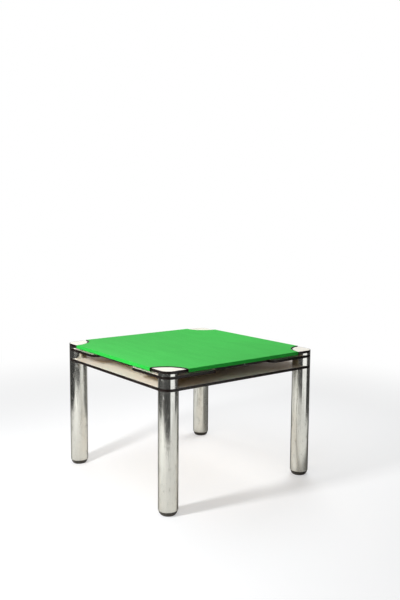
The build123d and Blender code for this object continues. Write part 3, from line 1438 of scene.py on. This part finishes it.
@dataclass
class ViewCamera:
    """The camera, at the photograph's viewpoint."""

    place: Point = (-2.211832, -2.949329, 1.354376)
    yaw: float = VIEW_YAW
    pitch: float = 0.1091
    roll: float = 0.0068
    focal_pixels: float = 674.602
    frame_height_pixels: float = 600.0
    sensor: float = 36.0
    reach: float = 100.0

    def make(self) -> None:
        """Creates the camera and makes it the scene's."""
        data = bpy.data.cameras.new("view_camera")
        data.sensor_width = self.sensor
        data.lens = self.focal_pixels / self.frame_height_pixels * self.sensor
        data.clip_end = self.reach
        camera = linked("view_camera", data)
        level = Vector((math.cos(self.yaw), -math.sin(self.yaw), 0.0))
        forward = Vector((
            math.sin(self.yaw) * math.cos(self.pitch),
            math.cos(self.yaw) * math.cos(self.pitch),
            -math.sin(self.pitch),
        ))
        upright = level.cross(forward)
        right = math.cos(self.roll) * level + math.sin(self.roll) * upright
        up = math.cos(self.roll) * upright - math.sin(self.roll) * level
        axes = Matrix((right, up, -forward)).transposed()
        camera.matrix_world = Matrix.Translation(Vector(self.place)) @ axes.to_4x4()
        bpy.context.scene.camera = camera


class Seen(Enum):
    """What a lamp lights: everything, only its mirror image in shiny surfaces, or only matt surfaces."""

    ALL = 0
    METAL = 1
    CLOTH = 2


@dataclass(frozen=True)
class SoftLamp:
    """A rectangular lamp that stands upright and faces a point."""

    name: str
    place: Point
    target: Point
    width: float
    height: float
    radiance: float
    seen_in: Seen = Seen.ALL

    def make(self) -> None:
        """Creates the lamp."""
        data = bpy.data.lights.new(self.name, "AREA")
        data.shape = "RECTANGLE"
        data.size = self.width
        data.size_y = self.height
        data.energy = self.radiance * math.pi * self.width * self.height
        lamp = linked(self.name, data)
        lamp.location = self.place
        aim = Vector(self.target) - Vector(self.place)
        lamp.rotation_euler = aim.to_track_quat("-Z", "Y").to_euler()
        lamp.visible_camera = False
        lamp.visible_diffuse = self.seen_in != Seen.METAL
        lamp.visible_glossy = self.seen_in != Seen.CLOTH
        log.info("%s gives %.1f watts", self.name, data.energy)


LAMPS = (
    SoftLamp("left_key", (-2.02, -0.18, 1.62), (0.0, -0.1, 0.6), 0.24, 0.5, 118.0),
    SoftLamp("right_wall", (0.6, -3.4, 1.2), (0.6, 0.0, 1.0), 3.2, 2.4, 1.12, Seen.METAL),
    SoftLamp("back_box", (0.15, 2.7, 2.1), (0.1, 0.0, 0.5), 0.5, 0.5, 7.9),
    SoftLamp("right_fill", (1.4, 0.5, 2.0), (0.1, 0.0, 0.6), 1.0, 1.0, 6.6, Seen.CLOTH),
    SoftLamp("front_fill", (-2.4, -2.0, 1.1), (-0.2, -0.3, 0.6), 1.0, 1.0, 3.6, Seen.CLOTH),
)


@dataclass
class Studio:
    """White paper on the shiny floor of a dim studio, a strip lamp at the left and soft lamps elsewhere."""

    paper_front: float = -1.62
    paper_half_width: float = 1.65
    edge_blur: float = 0.03
    floor_half: float = 30.0
    paper_seen: Color = (0.60, 0.606, 0.615)
    paper_unseen: Color = (0.80, 0.79, 0.77)
    # Painted shade on the paper, at a fixed place, which only mirror images show:
    paper_shaded: Color = (0.28, 0.275, 0.265)
    shade_from: tuple[float, float] = (0.42, -0.7)
    shade_to: tuple[float, float] = (2.4, 0.95)
    shade_blur: float = 0.14
    # Painted glow on the paper, kept out of the painted shade, which only mirror images show:
    gleam_from: float = -1.0
    gleam_to: float = 0.3
    gleam: float = 0.16
    gleam_color: Color = (1.0, 1.0, 0.97)
    studio_dark: float = 0.05
    shine: float = 0.85
    shine_blur: float = 0.12
    fade_start: float = 1.2
    fade_end: float = 3.6
    glow: float = 0.44
    front_light: float = 0.06
    top_light: float = 0.4

    def make(self) -> None:
        """Creates floor, world and lamps, and sets the plain view transform."""
        self.floor()
        self.sky()
        for lamp in LAMPS:
            lamp.make()
        bpy.context.scene.view_settings.view_transform = "Standard"

    def along_view(self, graph: Graph, place: NodeSocket) -> tuple[NodeSocket, NodeSocket]:
        """Coordinates along and across the view, from a place or a direction.

        Args:
            graph: The tree to add to.
            place: The place or direction.

        Returns:
            The coordinate away from the camera and the one to its right.
        """
        sine, cosine = math.sin(VIEW_YAW), math.cos(VIEW_YAW)
        away = graph.vector("DOT_PRODUCT", place, (sine, cosine, 0.0))
        right = graph.vector("DOT_PRODUCT", place, (cosine, -sine, 0.0))
        return away.outputs["Value"], right.outputs["Value"]

    def straight(self, graph: Graph) -> NodeSocket:
        """Tells rays that see a thing directly or through glass from all others.

        Args:
            graph: The tree to add to.

        Returns:
            1 for such a ray and 0 for others, also for the mirror images in metal.
        """
        path = graph.add("LightPath").outputs
        return graph.math("MAXIMUM", path["Is Camera Ray"], path["Is Transmission Ray"])

    def paper_mask(self, graph: Graph, place: NodeSocket) -> NodeSocket:
        """Where the floor is covered with paper.

        Args:
            graph: The tree to add to.
            place: The place on the floor.

        Returns:
            1 on the paper and 0 off it.
        """
        away, right = self.along_view(graph, place)
        blur = self.edge_blur
        in_front = graph.ramp(away, self.paper_front - blur, self.paper_front + blur)
        edge = self.paper_half_width
        aside = graph.ramp(graph.math("ABSOLUTE", right), edge - blur, edge + blur, 1.0, 0.0)
        return graph.math("MULTIPLY", in_front, aside)

    def shade_mask(self, graph: Graph, place: NodeSocket) -> NodeSocket:
        """A painted shade at a fixed place, where the top keeps the strip lamp's light off the paper.

        Args:
            graph: The tree to add to.
            place: The place on the floor.

        Returns:
            1 in the shade and 0 out of it.
        """
        axes = graph.add("SeparateXYZ", Vector=place).outputs
        blur = self.shade_blur
        mask = 1.0
        for axis, low, high in zip(("X", "Y"), self.shade_from, self.shade_to):
            rise = graph.ramp(axes[axis], low - blur, low + blur)
            fall = graph.ramp(axes[axis], high - 2 * blur, high + 2 * blur, 1.0, 0.0)
            mask = graph.math("MULTIPLY", graph.math("MULTIPLY", rise, fall), mask)
        return mask

    def seen_paper(self, graph: Graph, place: NodeSocket) -> Node:
        """Lit paper that fades into a white backdrop.

        Args:
            graph: The tree to add to.
            place: The place on the floor.

        Returns:
            The shader.
        """
        sheet = graph.add("BsdfDiffuse", Color=self.paper_seen)
        lit = graph.add("AddShader", sheet, graph.add("Emission", Color=WHITE, Strength=self.glow))
        far = graph.add("Emission", Color=WHITE, Strength=1.0)
        distance = graph.vector("LENGTH", place).outputs["Value"]
        return graph.mix(graph.ramp(distance, self.fade_start, self.fade_end), lit, far)

    def unseen_studio(self, graph: Graph, place: NodeSocket) -> Node:
        """Paper on a dark ground, with the ground's shine, and a painted shade and a painted glow on the
        paper, all seen in metal only.

        Args:
            graph: The tree to add to.
            place: The place on the floor.

        Returns:
            The shader.
        """
        glossy = graph.add("LightPath").outputs["Is Glossy Ray"]
        ground = graph.add("BsdfDiffuse", Color=(self.studio_dark,) * 3)
        shine = graph.add("BsdfGlossy", Color=(self.shine,) * 3, Roughness=self.shine_blur)
        bare = graph.mix(glossy, ground, shine)
        # Painted shade: the paper turns darker inside a fixed rectangle, for mirror images only.
        shaded = graph.math("MULTIPLY", self.shade_mask(graph, place), glossy)
        sheet = graph.add("BsdfDiffuse", Color=graph.blend(shaded, self.paper_unseen, self.paper_shaded))
        # Painted glow: an emission on the paper, growing towards +X from the given start, seen in metal only.
        right = graph.add("SeparateXYZ", Vector=place).outputs["X"]
        gleam = graph.ramp(right, self.gleam_from, self.gleam_to, 0.0, self.gleam)
        gleam = graph.math("MULTIPLY", gleam, glossy)
        gleam = graph.math("MULTIPLY", gleam, graph.math("SUBTRACT", 1.0, shaded))
        gleaming = graph.add("Emission", Color=self.gleam_color, Strength=gleam)
        return graph.mix(self.paper_mask(graph, place), bare, graph.add("AddShader", sheet, gleaming))

    def floor(self) -> None:
        """Creates the floor: white paper where it is seen straight, and a dim studio for other rays."""
        clear_selection()
        bpy.ops.mesh.primitive_plane_add(size=2 * self.floor_half, location=(0, 0, 0))
        floor = bpy.context.object
        floor.name = "studio_floor"
        material = bpy.data.materials.new("studio_paper")
        material.use_nodes = True
        graph = Graph(material.node_tree)
        place = graph.add("TexCoord").outputs["Object"]
        unseen = self.unseen_studio(graph, place)
        surface = graph.mix(self.straight(graph), unseen, self.seen_paper(graph, place))
        graph.add("OutputMaterial", Surface=surface)
        floor.data.materials.append(material)

    def sky(self) -> None:
        """Creates the world: white where it is seen straight, and for other rays dim in front only."""
        world = bpy.data.worlds.new("studio_world")
        bpy.context.scene.world = world
        world.use_nodes = True
        graph = Graph(world.node_tree)
        direction = graph.add("TexCoord").outputs["Generated"]
        away, _ = self.along_view(graph, direction)
        height = graph.add("SeparateXYZ", Vector=direction).outputs["Z"]
        behind = graph.ramp(away, low=0.5, high=0.85, start=self.front_light)
        above = graph.ramp(height, low=0.4, high=0.9, end=self.top_light)
        unseen = graph.add("Background", Color=WHITE, Strength=graph.math("MAXIMUM", behind, above))
        seen = graph.add("Background", Color=WHITE, Strength=1.0)
        graph.add("OutputWorld", Surface=graph.mix(self.straight(graph), unseen, seen))


def main() -> None:
    """Builds the table's looks in order."""
    logging.basicConfig(level=logging.INFO, format="%(message)s")
    for assembly in (
        ViewCamera(), Studio(), Boards(), SpacerRings(), Legs(), CornerFixings(), BearerScrews(),
        BaizePanel(), WoolTuft(),
    ):
        assembly.make()


if __name__ == "__main__":
    main()
